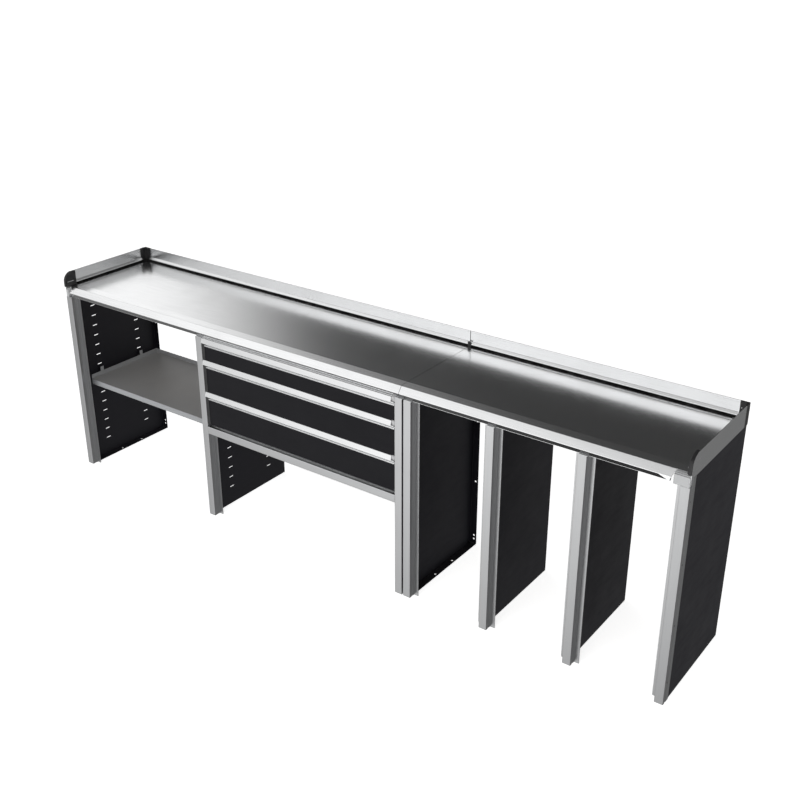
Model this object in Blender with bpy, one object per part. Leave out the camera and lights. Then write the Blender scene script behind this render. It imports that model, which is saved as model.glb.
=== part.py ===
"""Two-module workshop bench with three drawers, a hook-in shelf and a steel worktop.

Each module stands on folded steel uprights whose front edges carry aluminium posts. The left
module holds an open bay with a shelf and a bay of three drawers on telescopic runners. The right
module has three open bays. Metres, +Z up, front towards -Y, origin at the middle of the floor plan.
Inside the bench, sizes are measured from its front left foot: x to the right, y to the back.
"""
import math

import bmesh
import bpy
from mathutils import Vector

# Whole bench
LENGTH = 3.048
DEPTH = 0.497
GRIP_PROJECTION = 0.004
FRAME_HEIGHT = 0.900
UPSTAND_TOP = 0.984
GAP = 0.0003

# Posts: aluminium extrusion, hollow, with thin side fins
POST_WIDTH = 0.034
POST_DEPTH = 0.044
POST_WALL = 0.0025
BOX_DEPTH = 0.030
FIN_REACH = 0.020
FIN_THICKNESS = 0.003
GROOVE_FRONT = 0.013
GROOVE_WIDTH = 0.008
GROOVE_DEPTH = 0.003
POST_NOTCH_HEIGHT = 0.8705
POST_NOTCH_DEPTH = 0.0138

# Left edges of the seven posts, from the left end of the bench
MODULE_SPLIT = 0.0065
LEFT_MODULE_END = 1.918
POST_LEFTS = {
    "post_left_end": 0.0,
    "post_shelf_drawer_divider": 0.8375,
    "post_left_module_right": LEFT_MODULE_END - POST_WIDTH,
    "post_right_module_left": LEFT_MODULE_END + MODULE_SPLIT,
    "post_right_module_second": 2.285,
    "post_right_module_third": 2.649,
    "post_right_end": LENGTH - POST_WIDTH,
}
LEFT_OUTER_POSTS = ("post_left_end", "post_right_module_left")
RIGHT_OUTER_POSTS = ("post_left_module_right", "post_right_end")

# Uprights: folded sheet steel
PANEL_THICKNESS = 0.002
PANEL_FRONT = POST_DEPTH + 0.001
PANEL_INSET = 0.002
PANEL_FLANGE = 0.032
CENTRE_PANEL_OFFSET = -0.003
SLOT_LENGTH = 0.025
SLOT_HEIGHT = 0.006
SLOT_PITCH = 0.050
SLOT_BASE = 0.086
SLOT_COUNT = 15
SLOT_COLUMNS = (0.137, 0.387)
HOLE_RADIUS = 0.0045
FLOOR_HOLES = (0.200, 0.326)
WALL_HOLES = (0.024, 0.042, 0.308, 0.592, 0.860)

# Worktop
TOP_SURFACE = 0.918
SKIN = 0.002
SEAM_X = 1.901
SEAM_GAP = 0.0008
CORE_FRONT = 0.0605
CORE_BACK = 0.4860
NOSE_START_X = 0.018
NOSE_END_X = 2.989
NOSE_BREAK = (0.059, TOP_SURFACE)
NOSE_CREST = (0.021, 0.9155)
NOSE_FOLD = (0.002, 0.8895)
NOSE_RETURN = (0.0105, 0.8750)
NOSE_LIP = (0.0105, 0.8730)
SHEET_BACK = 0.4937

# Edging above the worktop
PLATE = 0.003
LIP_DEPTH = 0.010
LIP_LOW = 0.9265
LIP_HIGH = 0.9380
SEAL_WIDTH = 0.0067
END_CAP_LENGTH = 0.066
END_CAP_WIDTH = 0.020
CORNER_RADIUS = 0.042
REAR_CAP = 0.034
REAR_CAP_WALL = 0.008
EDGING_FRONT = -0.002
BLOCK_DEPTH = 0.0590

# Shelf
SHELF_FRONT = 0.069
SHELF_BACK = 0.488
SHELF_SIDE_GAP = 0.014
SHELF_FLOOR = 0.432
SHELF_RIM = 0.453
SHELF_SHEET = 0.0015
SHELF_DROP = 0.406
HOOK_SLOT = 7
HOOK_WIDTH = 0.018
HOOK_RISE = 0.012

# Drawers, from the top down: name, underside and top of the front
DRAWERS = (
    ("drawer_top", 0.7730, 0.8712),
    ("drawer_middle", 0.6235, 0.7715),
    ("drawer_bottom", 0.4680, 0.6220),
)
FRONT_CLEARANCE = 0.0015
GRIP_HEIGHT = 0.024
GRIP_RAIL_HEIGHT = 0.036
GRIP_CAP_WIDTH = 0.014
SIDE_CAP_WIDTH = 0.016
FRONT_DEPTH = 0.016
FRONT_SHEET = 0.0015
BOX_FRONT = 0.0186
BOX_BACK = 0.455
BOX_SHEET = 0.0012
BOX_INSET = 0.0345
BOX_LIFT = 0.006
BOX_DROP = 0.016
CROSS_BAR_LOW = 0.417
CROSS_BAR_HIGH = 0.452
TOP_RAIL_FRONT = 0.0145
TOP_RAIL_LOW = 0.8735

# Runners
RUNNER_FRONT = 0.0455
RUNNER_LENGTH = 0.4145
RUNNER_HALF_HEIGHT = 0.022
RUNNER_WALL = 0.0025
RUNNER_INSET = 0.0215
RUNNER_DEPTH = 0.011
SLIDER_INSET = 0.0250
SLIDER_DEPTH = 0.0070
SLIDER_HALF_HEIGHT = 0.0175
RUNNER_ABOVE_BOX = 0.026


def clear_scene():
    """Start from an empty scene."""
    for item in list(bpy.data.objects):
        bpy.data.objects.remove(item, do_unlink=True)


def finish(name, colour, roughness, metallic):
    """A plain surface finish."""
    material = bpy.data.materials.new(name)
    material.use_nodes = True
    shader = material.node_tree.nodes["Principled BSDF"]
    shader.inputs["Base Color"].default_value = (*colour, 1.0)
    shader.inputs["Roughness"].default_value = roughness
    shader.inputs["Metallic"].default_value = metallic
    material.diffuse_color = (*colour, 1.0)
    return material


def empty(name, place, parent=None):
    """A frame that other pieces hang from."""
    item = bpy.data.objects.new(name, None)
    bpy.context.collection.objects.link(item)
    item.parent = parent
    item.location = place
    return item


def add_piece(name, shape, material, place, parent):
    """Turn a bmesh into a named piece with its normals facing out."""
    bmesh.ops.recalc_face_normals(shape, faces=shape.faces)
    mesh = bpy.data.meshes.new(name)
    shape.to_mesh(mesh)
    shape.free()
    item = bpy.data.objects.new(name, mesh)
    bpy.context.collection.objects.link(item)
    item.parent = parent
    item.location = place
    if material is not None:
        mesh.materials.append(material)
    return item


def block(name, low, high, material, parent):
    """A rectangular piece between two corners."""
    low = Vector(low)
    high = Vector(high)
    shape = bmesh.new()
    bmesh.ops.create_cube(shape, size=1.0)
    bmesh.ops.scale(shape, vec=high - low, verts=shape.verts)
    return add_piece(name, shape, material, (low + high) / 2, parent)


def extrusion(name, outline, direction, length, material, place, parent):
    """A closed outline drawn square to one axis and pushed along it.

    The outline's two numbers are y, z along X; x, z along Y; and x, y along Z.
    """
    shape = bmesh.new()
    if direction == "X":
        points = [(0.0, a, b) for a, b in outline]
        push = Vector((length, 0.0, 0.0))
    elif direction == "Y":
        points = [(a, 0.0, b) for a, b in outline]
        push = Vector((0.0, length, 0.0))
    else:
        points = [(a, b, 0.0) for a, b in outline]
        push = Vector((0.0, 0.0, length))
    face = shape.faces.new([shape.verts.new(point) for point in points])
    grown = bmesh.ops.extrude_face_region(shape, geom=[face])
    moved = [part for part in grown["geom"] if isinstance(part, bmesh.types.BMVert)]
    bmesh.ops.translate(shape, vec=push, verts=moved)
    return add_piece(name, shape, material, place, parent)


def boolean(target, tool, operation):
    """Join a shape to a piece, or cut it away, and keep the tool out of the model."""
    tool.hide_render = True
    tool.display_type = "WIRE"
    change = target.modifiers.new(operation.lower() + "_" + tool.name, "BOOLEAN")
    change.operation = operation
    change.solver = "EXACT"
    change.object = tool


def join(target, tool):
    boolean(target, tool, "UNION")


def cut(target, tool):
    boolean(target, tool, "DIFFERENCE")


def arc(centre, radius, start, end, steps):
    """Points along a quarter or other part of a circle, angles in degrees."""
    points = []
    for step in range(steps + 1):
        angle = math.radians(start + (end - start) * step / steps)
        points.append((centre[0] + radius * math.cos(angle), centre[1] + radius * math.sin(angle)))
    return points


def drill(target, places, axis, material_depth, parent):
    """Cut round holes through a flat flange, all on one axis."""
    shape = bmesh.new()
    for place in places:
        made = bmesh.ops.create_cone(
            shape, cap_ends=True, segments=12, radius1=HOLE_RADIUS, radius2=HOLE_RADIUS,
            depth=material_depth)
        if axis == "Y":
            bmesh.ops.rotate(shape, cent=(0, 0, 0), verts=made["verts"],
                             matrix=Vector((0, 0, 1)).rotation_difference(Vector((0, 1, 0))).to_matrix())
        bmesh.ops.translate(shape, vec=place, verts=made["verts"])
    tool = add_piece(target.name + "_holes_" + axis.lower(), shape, None, (0, 0, 0), parent)
    cut(target, tool)


def punch_slots(panel, sheet_x, parent):
    """Cut the two columns of hook slots through an upright."""
    shape = bmesh.new()
    for column in SLOT_COLUMNS:
        for number in range(SLOT_COUNT):
            made = bmesh.ops.create_cube(shape, size=1.0)
            bmesh.ops.scale(shape, vec=(PANEL_THICKNESS * 4, SLOT_LENGTH, SLOT_HEIGHT), verts=made["verts"])
            bmesh.ops.translate(shape, vec=(sheet_x, column, SLOT_BASE + SLOT_PITCH * number),
                                verts=made["verts"])
    cut(panel, add_piece(panel.name + "_slots", shape, None, (0, 0, 0), parent))


def outer_upright(name, edge_x, inward, slotted, parent):
    """An end upright: a sheet with flanges folded inwards at the wall and at the floor."""
    height = FRAME_HEIGHT
    near = inward * PANEL_INSET
    inner = inward * (PANEL_INSET + PANEL_THICKNESS)
    reach = inward * (PANEL_INSET + PANEL_FLANGE)
    fold = DEPTH - PANEL_THICKNESS
    plan = [(near, PANEL_FRONT), (inner, PANEL_FRONT), (inner, fold), (reach, fold), (reach, DEPTH),
            (near, DEPTH)]
    colour = finish(name + "_black", (0.012, 0.012, 0.015), 0.45, 0.2)
    upright = extrusion(name, plan, "Z", height, colour, (edge_x, 0, 0), parent)
    flange_end = DEPTH - PANEL_FLANGE
    flange_x = sorted((edge_x + inward * (PANEL_INSET + PANEL_THICKNESS / 2), edge_x + reach))
    foot = block(name + "_floor_flange", (flange_x[0], PANEL_FRONT, 0.0),
                 (flange_x[1], flange_end, PANEL_THICKNESS), None, parent)
    join(upright, foot)
    hole_x = edge_x + inward * (PANEL_INSET + PANEL_FLANGE * 0.62)
    drill(upright, [(hole_x, y, PANEL_THICKNESS / 2) for y in FLOOR_HOLES], "Z", PANEL_THICKNESS * 4, parent)
    drill(upright, [(hole_x, DEPTH - PANEL_THICKNESS / 2, z) for z in WALL_HOLES], "Y",
          PANEL_THICKNESS * 4, parent)
    if slotted:
        punch_slots(upright, edge_x + inward * (PANEL_INSET + PANEL_THICKNESS / 2), parent)
    return upright


def centre_upright(name, post_left, slotted, parent):
    """A flat upright standing behind the middle of its post."""
    sheet_x = post_left + POST_WIDTH / 2 + CENTRE_PANEL_OFFSET
    colour = finish(name + "_black", (0.012, 0.012, 0.015), 0.45, 0.2)
    upright = block(name, (sheet_x, PANEL_FRONT, 0.0), (sheet_x + PANEL_THICKNESS, DEPTH, FRAME_HEIGHT),
                    colour, parent)
    if slotted:
        punch_slots(upright, sheet_x + PANEL_THICKNESS / 2, parent)
    return upright


def post(name, left, left_fin, right_fin, parent):
    """A hollow aluminium post with a groove in each side and thin fins behind its box."""
    groove_back = GROOVE_FRONT + GROOVE_WIDTH
    fin_back = BOX_DEPTH + FIN_THICKNESS
    groove = [(0.0, GROOVE_FRONT), (GROOVE_DEPTH, GROOVE_FRONT), (GROOVE_DEPTH, groove_back), (0.0, groove_back)]
    fin = [(0.0, BOX_DEPTH), (-FIN_REACH, BOX_DEPTH), (-FIN_REACH, fin_back), (0.0, fin_back)]
    right = [(POST_WIDTH - x, y) for x, y in groove]
    if right_fin:
        right += [(POST_WIDTH - x, y) for x, y in fin]
    outline = [(0.0, 0.0), (POST_WIDTH, 0.0)] + right + [(POST_WIDTH, POST_DEPTH), (0.0, POST_DEPTH)]
    if left_fin:
        outline += list(reversed(fin))
    outline += list(reversed(groove))
    colour = finish(name + "_aluminium", (0.55, 0.55, 0.56), 0.35, 0.9)
    item = extrusion(name, outline, "Z", FRAME_HEIGHT - GAP, colour, (left, 0, 0), parent)
    wall = POST_WALL + GROOVE_DEPTH
    core = block(name + "_bore", (left + wall, POST_WALL, -0.01),
                 (left + POST_WIDTH - wall, POST_DEPTH - POST_WALL, FRAME_HEIGHT + 0.01), None, parent)
    cut(item, core)
    notch = block(name + "_notch", (left - FIN_REACH - 0.01, -0.01, POST_NOTCH_HEIGHT),
                  (left + POST_WIDTH + FIN_REACH + 0.01, POST_NOTCH_DEPTH, FRAME_HEIGHT + 0.01), None, parent)
    cut(item, notch)
    return item


def inset_path(path, distance):
    """The same open path moved sideways by a sheet's thickness, square at each bend."""
    moved = []
    for index, point in enumerate(path):
        before = Vector(path[max(index - 1, 0)])
        here = Vector(point)
        after = Vector(path[min(index + 1, len(path) - 1)])
        steps = [step.normalized() for step in (here - before, after - here) if step.length > 0]
        normals = [Vector((-step.y, step.x)) for step in steps]
        middle = sum(normals, Vector((0, 0))).normalized()
        moved.append(tuple(here + middle * distance / middle.dot(normals[0])))
    return moved


def worktop_skin(name, start, end, nose_start, nose_end, parent):
    """The folded steel sheet of one worktop, with its sloping nose, cut short beside the end blocks."""
    outer = [(SHEET_BACK, TOP_SURFACE), NOSE_BREAK, NOSE_CREST, NOSE_FOLD, NOSE_RETURN, NOSE_LIP]
    outline = outer + list(reversed(inset_path(outer, SKIN)))
    colour = finish(name + "_steel", (0.62, 0.62, 0.63), 0.3, 1.0)
    sheet = extrusion(name, outline, "X", end - start, colour, (start, 0, 0), parent)
    if nose_start > start:
        cut(sheet, block(name + "_left_corner", (start - 0.01, -0.02, 0.85),
                         (nose_start, BLOCK_DEPTH + GAP, 0.95), None, parent))
    if nose_end < end:
        cut(sheet, block(name + "_right_corner", (nose_end, -0.02, 0.85),
                         (end + 0.01, BLOCK_DEPTH + GAP, 0.95), None, parent))
    return sheet


def build_worktops(parent):
    left_edge = PLATE + GAP
    right_edge = LENGTH - PLATE - GAP
    seam_left = SEAM_X - SEAM_GAP / 2
    seam_right = SEAM_X + SEAM_GAP / 2
    worktop_skin("worktop_left_skin", left_edge, seam_left, NOSE_START_X, seam_left, parent)
    worktop_skin("worktop_right_skin", seam_right, right_edge, seam_right, NOSE_END_X, parent)
    low = FRAME_HEIGHT + GAP
    high = TOP_SURFACE - SKIN - GAP
    wood = finish("plywood", (0.35, 0.22, 0.12), 0.7, 0.0)
    block("worktop_left_core", (left_edge, CORE_FRONT, low), (seam_left, CORE_BACK, high), wood, parent)
    block("worktop_right_core", (seam_right, CORE_FRONT, low), (right_edge, CORE_BACK, high),
          finish("plywood_right", (0.35, 0.22, 0.12), 0.7, 0.0), parent)


def corner_block(name, start, end, parent):
    """An aluminium filler that closes the worktop's front corner over the end post."""
    skirt = POST_NOTCH_DEPTH - GAP
    low = POST_NOTCH_HEIGHT + GAP
    shelf_low = FRAME_HEIGHT + GAP
    high = TOP_SURFACE - SKIN
    outline = [(0.0, low), (skirt, low), (skirt, shelf_low), (BLOCK_DEPTH, shelf_low), (BLOCK_DEPTH, high),
               (0.008, high), (0.0, high - 0.004)]
    colour = finish(name + "_aluminium", (0.6, 0.6, 0.6), 0.4, 0.8)
    return extrusion(name, outline, "X", end - start, colour, (start, 0, 0), parent)


def side_upstand(name, edge_x, inward, parent):
    """The thin edging plate at one end, rounded at its front top corner, with a lip on its inner side."""
    plate_back = DEPTH - REAR_CAP - GAP
    low = FRAME_HEIGHT + GAP
    centre = (EDGING_FRONT + CORNER_RADIUS, UPSTAND_TOP - CORNER_RADIUS)
    side = [(EDGING_FRONT, low), (plate_back, low), (plate_back, UPSTAND_TOP)]
    side += arc(centre, CORNER_RADIUS, 90, 180, 8)
    colour = finish(name + "_aluminium", (0.5, 0.5, 0.51), 0.4, 0.9)
    start = edge_x if inward > 0 else edge_x - PLATE
    item = extrusion(name, side, "X", PLATE, colour, (start, 0, 0), parent)
    lip = [(PLATE / 2, LIP_LOW), (LIP_DEPTH, LIP_LOW), (LIP_DEPTH, LIP_LOW + 0.0025), (PLATE + 0.0015, LIP_HIGH),
           (PLATE / 2, LIP_HIGH)]
    lip = [(inward * x, z) for x, z in lip]
    lip_front = END_CAP_LENGTH
    join(item, extrusion(name + "_lip", lip, "Y", plate_back - lip_front, None, (edge_x, lip_front, 0), parent))
    return item


def rear_upstand(name, start, end, parent):
    """One length of the rear edging, with the same lip towards the worktop."""
    face = DEPTH - PLATE
    nose = DEPTH - LIP_DEPTH
    outline = [(DEPTH, FRAME_HEIGHT + GAP), (DEPTH, UPSTAND_TOP), (face, UPSTAND_TOP), (face, LIP_HIGH),
               (face - 0.0015, LIP_HIGH), (nose, LIP_LOW + 0.0025), (nose, LIP_LOW), (face, LIP_LOW),
               (face, FRAME_HEIGHT + GAP)]
    colour = finish(name + "_aluminium", (0.6, 0.6, 0.61), 0.4, 0.9)
    return extrusion(name, outline, "X", end - start, colour, (start, 0, 0), parent)


def front_end_cap(name, edge_x, inward, parent):
    """The black quarter-round cap at the front of a side upstand, on the worktop side."""
    low = TOP_SURFACE + GAP
    back = END_CAP_LENGTH - GAP
    centre = (EDGING_FRONT + CORNER_RADIUS, UPSTAND_TOP - CORNER_RADIUS)
    side = [(EDGING_FRONT, low), (back, low), (back, UPSTAND_TOP)] + arc(centre, CORNER_RADIUS, 90, 180, 8)
    colour = finish(name + "_plastic", (0.01, 0.01, 0.01), 0.5, 0.0)
    near = PLATE + GAP
    start = edge_x + near if inward > 0 else edge_x - END_CAP_WIDTH
    return extrusion(name, side, "X", END_CAP_WIDTH - near, colour, (start, 0, 0), parent)


def rear_corner_cap(name, edge_x, inward, parent):
    """The black corner piece that joins a side upstand to the rear one."""
    front = DEPTH - REAR_CAP

    def corner(thickness):
        wall = inward * thickness
        reach = inward * (REAR_CAP - GAP)
        return [(0.0, front), (wall, front), (wall, DEPTH - thickness), (reach, DEPTH - thickness),
                (reach, DEPTH), (0.0, DEPTH)]

    colour = finish(name + "_plastic", (0.01, 0.01, 0.01), 0.5, 0.0)
    low = FRAME_HEIGHT + GAP
    item = extrusion(name, corner(PLATE), "Z", UPSTAND_TOP - low, colour, (edge_x, 0, low), parent)
    step = LIP_LOW + GAP
    join(item, extrusion(name + "_upper", corner(REAR_CAP_WALL), "Z", UPSTAND_TOP - step, None,
                         (edge_x, 0, step), parent))
    return item


def edge_seal(name, edge_x, inward, end_x, parent):
    """The black rubber strip under the edging lip, along one side and the rear."""
    outer = edge_x + inward * (PLATE + GAP)
    inner = outer + inward * SEAL_WIDTH
    back = DEPTH - PLATE - GAP
    front = END_CAP_LENGTH + GAP
    plan = [(outer, front), (inner, front), (inner, back - SEAL_WIDTH), (end_x, back - SEAL_WIDTH),
            (end_x, back), (outer, back)]
    colour = finish(name + "_rubber", (0.005, 0.005, 0.005), 0.8, 0.0)
    low = TOP_SURFACE + GAP
    return extrusion(name, plan, "Z", LIP_LOW - GAP - low, colour, (0, 0, low), parent)


def build_edging(parent):
    seam_left = SEAM_X - SEAM_GAP / 2
    seam_right = SEAM_X + SEAM_GAP / 2
    near = PLATE + GAP
    corner_block("corner_block_left", near, NOSE_START_X - GAP, parent)
    corner_block("corner_block_right", NOSE_END_X + GAP, LENGTH - near, parent)
    side_upstand("upstand_left", 0.0, 1, parent)
    side_upstand("upstand_right", LENGTH, -1, parent)
    rear_upstand("upstand_rear_left", REAR_CAP, seam_left, parent)
    rear_upstand("upstand_rear_right", seam_right, LENGTH - REAR_CAP, parent)
    front_end_cap("end_cap_left", 0.0, 1, parent)
    front_end_cap("end_cap_right", LENGTH, -1, parent)
    rear_corner_cap("corner_cap_left", 0.0, 1, parent)
    rear_corner_cap("corner_cap_right", LENGTH, -1, parent)
    edge_seal("edge_seal_left", 0.0, 1, seam_left, parent)
    edge_seal("edge_seal_right", LENGTH, -1, seam_right, parent)


def shelf_hook(name, side_x, panel_face, column, parent):
    """A lug on the shelf's rim that passes through a slot and drops behind the sheet."""
    outward = 1 if panel_face > side_x else -1
    slot = SLOT_BASE + SLOT_PITCH * HOOK_SLOT
    tongue_low = slot - SLOT_HEIGHT / 2 + 0.0006
    tongue_high = slot + SLOT_HEIGHT / 2 - 0.0006
    behind = PANEL_THICKNESS + 0.0006
    arm = panel_face - outward * 0.0006
    root = side_x - outward * SHELF_SHEET / 2
    outline = [(root, slot - HOOK_RISE / 2), (arm, slot - HOOK_RISE / 2), (arm, tongue_low),
               (panel_face + outward * behind, tongue_low),
               (panel_face + outward * behind, slot - HOOK_RISE / 2),
               (panel_face + outward * (behind + 0.0012), slot - HOOK_RISE / 2),
               (panel_face + outward * (behind + 0.0012), tongue_high),
               (arm, tongue_high), (arm, slot + HOOK_RISE), (root, slot + HOOK_RISE)]
    return extrusion(name, outline, "Y", HOOK_WIDTH, None, (0, column - HOOK_WIDTH / 2, 0), parent)


def build_shelf(left_face, right_face, parent):
    """A pressed steel tray with rims at the back and sides and a drop at the front."""
    left = left_face + SHELF_SIDE_GAP
    right = right_face - SHELF_SIDE_GAP
    under = SHELF_FLOOR - SHELF_SHEET
    grey = finish("shelf_grey", (0.18, 0.18, 0.18), 0.5, 0.3)
    tray = block("shelf_tray", (left, SHELF_FRONT, under), (right, SHELF_BACK, SHELF_RIM), grey, parent)
    hollow = block("shelf_hollow", (left + SHELF_SHEET, SHELF_FRONT - 0.01, SHELF_FLOOR),
                   (right - SHELF_SHEET, SHELF_BACK - SHELF_SHEET, SHELF_RIM + 0.01), None, parent)
    cut(tray, hollow)
    drop = block("shelf_drop", (left, SHELF_FRONT, SHELF_DROP),
                 (right, SHELF_FRONT + SHELF_SHEET, SHELF_FLOOR - SHELF_SHEET / 2), None, parent)
    join(tray, drop)
    for number, column in enumerate(SLOT_COLUMNS):
        join(tray, shelf_hook("shelf_hook_left_%d" % number, left, left_face, column, parent))
        join(tray, shelf_hook("shelf_hook_right_%d" % number, right, right_face, column, parent))
    return tray


def build_bay_bars(left, right, parent):
    """The hollow bar below the drawers and the angle above them, both between two posts."""
    silver = finish("cross_bar_aluminium", (0.55, 0.55, 0.56), 0.35, 0.9)
    bar = block("drawer_bay_cross_bar", (left + GAP, 0.0005, CROSS_BAR_LOW),
                (right - GAP, BOX_DEPTH - 0.001, CROSS_BAR_HIGH), silver, parent)
    cut(bar, block("cross_bar_bore", (left - 0.01, 0.0005 + POST_WALL, CROSS_BAR_LOW + POST_WALL),
                   (right + 0.01, BOX_DEPTH - 0.001 - POST_WALL, CROSS_BAR_HIGH - POST_WALL), None, parent))
    low = TOP_RAIL_LOW
    high = FRAME_HEIGHT - GAP
    back = BOX_DEPTH - 0.001
    sheet = 0.0015
    outline = [(TOP_RAIL_FRONT, low), (TOP_RAIL_FRONT + sheet, low), (TOP_RAIL_FRONT + sheet, high - sheet),
               (back, high - sheet), (back, high), (TOP_RAIL_FRONT, high)]
    extrusion("drawer_bay_top_rail", outline, "X", right - left - 2 * GAP,
              finish("top_rail_aluminium", (0.45, 0.45, 0.46), 0.4, 0.9), (left + GAP, 0, 0), parent)


def grip_outline(top):
    """The full-width grip seen from its end: a leaning face, a finger recess and a lip over the front."""
    return [(0.018, top), (0.004, top), (0.001, top - 0.002), (-GRIP_PROJECTION, top - 0.0225),
            (-GRIP_PROJECTION, top - GRIP_HEIGHT), (-0.0015, top - GRIP_HEIGHT), (0.006, top - 0.0265),
            (0.006, top - 0.0300), (0.0005, top - 0.0305), (0.0005, top - GRIP_RAIL_HEIGHT),
            (0.0025, top - GRIP_RAIL_HEIGHT), (0.0025, top - 0.0330), (0.018, top - 0.0330)]


def build_drawer(name, low, high, left, right, slide_axis):
    """A drawer: pressed box, black front, aluminium grip and two end caps, all moving together."""
    left += FRONT_CLEARANCE
    right -= FRONT_CLEARANCE
    grip_low = high - GRIP_RAIL_HEIGHT
    face_left = left + SIDE_CAP_WIDTH
    aluminium = finish(name + "_grip_aluminium", (0.7, 0.7, 0.71), 0.3, 0.9)
    grip = extrusion(name + "_grip", grip_outline(high), "X", right - left, aluminium, (left, 0, 0), slide_axis)
    cut(grip, block(name + "_grip_left_relief", (left - 0.01, -0.02, high - 0.06),
                    (face_left + GAP, 0.03, high - GRIP_HEIGHT + 0.0012), None, slide_axis))
    cut(grip, block(name + "_grip_right_relief", (right - GRIP_CAP_WIDTH - GAP, -0.02, high - 0.0202),
                    (right + 0.01, 0.03, high + 0.01), None, slide_axis))
    cap_side = [(0.0025, high - 0.0199), (0.018, high - 0.0199), (0.018, high), (0.006, high), (0.002, high - 0.003)]
    extrusion(name + "_grip_cap", cap_side, "X", GRIP_CAP_WIDTH,
              finish(name + "_grip_cap_grey", (0.5, 0.5, 0.5), 0.5, 0.0),
              (right - GRIP_CAP_WIDTH, 0, 0), slide_axis)
    cap_top = high - GRIP_HEIGHT + 0.0012 - GAP
    side_cap = [(0.0005, low), (0.018, low), (0.018, cap_top), (0.004, cap_top), (0.0005, cap_top - 0.004)]
    extrusion(name + "_side_cap", side_cap, "X", SIDE_CAP_WIDTH,
              finish(name + "_side_cap_plastic", (0.01, 0.01, 0.01), 0.5, 0.0), (left, 0, 0), slide_axis)
    black = finish(name + "_front_black", (0.013, 0.013, 0.014), 0.45, 0.2)
    front = block(name + "_front", (face_left + GAP, 0.002, low), (right, FRONT_DEPTH, grip_low - GAP),
                  black, slide_axis)
    cut(front, block(name + "_front_back", (face_left + GAP + FRONT_SHEET, 0.002 + FRONT_SHEET, low + FRONT_SHEET),
                     (right - FRONT_SHEET, FRONT_DEPTH + 0.01, grip_low - GAP - FRONT_SHEET), None, slide_axis))
    box_left = left - FRONT_CLEARANCE + BOX_INSET
    box_right = right + FRONT_CLEARANCE - BOX_INSET
    floor = low + BOX_LIFT
    grey = finish(name + "_box_grey", (0.3, 0.3, 0.31), 0.45, 0.4)
    box = block(name + "_box", (box_left, BOX_FRONT, floor), (box_right, BOX_BACK, high - BOX_DROP), grey, slide_axis)
    cut(box, block(name + "_box_inside", (box_left + BOX_SHEET, BOX_FRONT + BOX_SHEET, floor + BOX_SHEET),
                   (box_right - BOX_SHEET, BOX_BACK - BOX_SHEET, high), None, slide_axis))


def runner(name, edge, panel_face, inward, middle, parent):
    """The fixed runner: a bracket on the upright carrying a channel that opens towards the drawer."""
    web = edge + inward * RUNNER_INSET
    rim = edge + inward * (RUNNER_INSET + RUNNER_DEPTH)
    low = middle - RUNNER_HALF_HEIGHT
    high = middle + RUNNER_HALF_HEIGHT
    wall = RUNNER_WALL
    bracket = wall * 1.6
    face = panel_face + inward * GAP
    outline = [(face, low), (face + inward * wall, low), (face + inward * wall, high - bracket),
               (web, high - bracket), (web, low), (rim, low), (rim, low + wall),
               (web + inward * wall, low + wall), (web + inward * wall, high - wall),
               (rim, high - wall), (rim, high), (face, high)]
    colour = finish(name + "_zinc", (0.5, 0.5, 0.5), 0.4, 0.9)
    return extrusion(name, outline, "Y", RUNNER_LENGTH, colour, (0, RUNNER_FRONT, 0), parent)


def slider(name, edge, inward, parent):
    """The middle member of a telescopic runner, a smaller channel inside the fixed one."""
    web = edge + inward * SLIDER_INSET
    rim = edge + inward * (SLIDER_INSET + SLIDER_DEPTH)
    half = SLIDER_HALF_HEIGHT
    wall = RUNNER_WALL
    outline = [(web, -half), (rim, -half), (rim, wall - half), (web + inward * wall, wall - half),
               (web + inward * wall, half - wall), (rim, half - wall), (rim, half), (web, half)]
    colour = finish(name + "_zinc", (0.55, 0.55, 0.55), 0.35, 0.9)
    return extrusion(name, outline, "Y", RUNNER_LENGTH, colour, (0, RUNNER_FRONT, 0), parent)


def build_drawers(bay_left, bay_right, left_face, right_face, corner):
    """Three drawers; each slides forward from a frame at the middle of its own front."""
    centre = (bay_left + bay_right) / 2
    half = (bay_right - bay_left) / 2
    for name, low, high in DRAWERS:
        middle = low + BOX_LIFT + RUNNER_ABOVE_BOX
        drawer_axis = empty(name + "_slide_axis", (centre, 0, middle), corner)
        slider_axis = empty(name + "_slider_slide_axis", (centre, 0, middle), corner)
        build_drawer(name, low - middle, high - middle, -half, half, drawer_axis)
        runner(name + "_runner_left", bay_left, left_face, 1, middle, corner)
        runner(name + "_runner_right", bay_right, right_face, -1, middle, corner)
        slider(name + "_slider_left", -half, 1, slider_axis)
        slider(name + "_slider_right", half, -1, slider_axis)


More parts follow.
